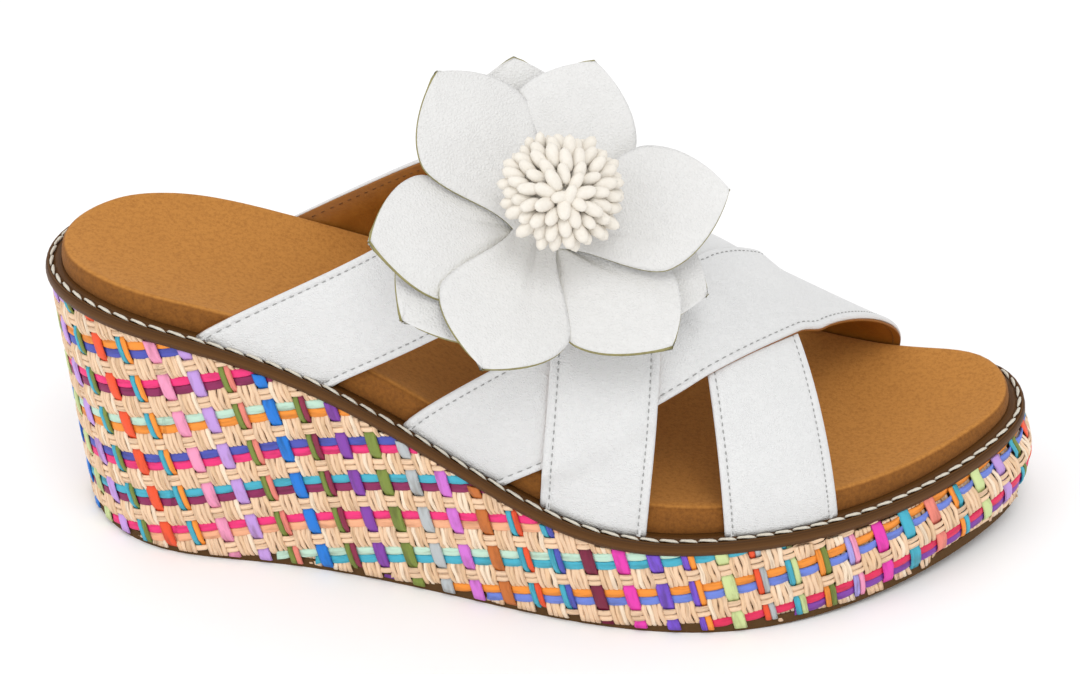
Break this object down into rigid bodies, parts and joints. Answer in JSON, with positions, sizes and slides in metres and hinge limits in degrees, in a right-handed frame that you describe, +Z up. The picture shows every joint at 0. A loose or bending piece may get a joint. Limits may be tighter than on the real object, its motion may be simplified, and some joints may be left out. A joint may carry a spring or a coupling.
{
  "type": "wedge sandal",
  "caption": "Slip-on wedge sandal with four crossed white straps, a leather flower, a brown footbed and a covered wedge woven from raffia.",
  "frame": {"origin": "on the ground, in the middle of the sandal's box", "axes": "+X from heel to toe, +Y to the inner side of the foot, +Z up"},
  "size_m": [0.2592, 0.1152, 0.1344],
  "materials": {
    "outsole_rubber": "matt dark brown rubber with a fine grain",
    "core_foam": "closed-cell foam",
    "raffia": "woven natural and dyed paper raffia",
    "board": "pressed fibre board",
    "welt_strip": "polished dark brown edge strip",
    "welt_thread": "thick cream thread",
    "footbed_foam": "soft foam",
    "footbed_suede": "caramel microsuede",
    "upper_leather": "white smooth coated leather with a fine grain",
    "lining_leather": "tan smooth lining",
    "seam_thread": "fine grey-white thread",
    "petal_leather": "white matt leather, raw olive-brown edge",
    "stamen": "cream coated beads"
  },
  "bodies": {
    "root": {"outsole": "outsole_rubber", "wedge_core": "core_foam", "raffia_wrap": "raffia", "insole_board": "board", "bottom_filler": "core_foam", "welt": "welt_strip", "welt_thread": "welt_thread", "footbed_foam": "footbed_foam", "footbed_cover": "footbed_suede", "flower_backing": "upper_leather", "petals_lower": "petal_leather", "petals_middle": "petal_leather", "petals_upper": "petal_leather", "stamen_core": "stamen", "stamens": "stamen", "strap_d_lining": "lining_leather", "strap_d_leather": "upper_leather", "strap_d_stitching": "seam_thread", "strap_b_lining": "lining_leather", "strap_b_leather": "upper_leather", "strap_b_stitching": "seam_thread", "strap_a_lining": "lining_leather", "strap_a_leather": "upper_leather", "strap_a_stitching": "seam_thread", "strap_c_lining": "lining_leather", "strap_c_leather": "upper_leather", "strap_c_stitching": "seam_thread"}
  },
  "joints": []
}
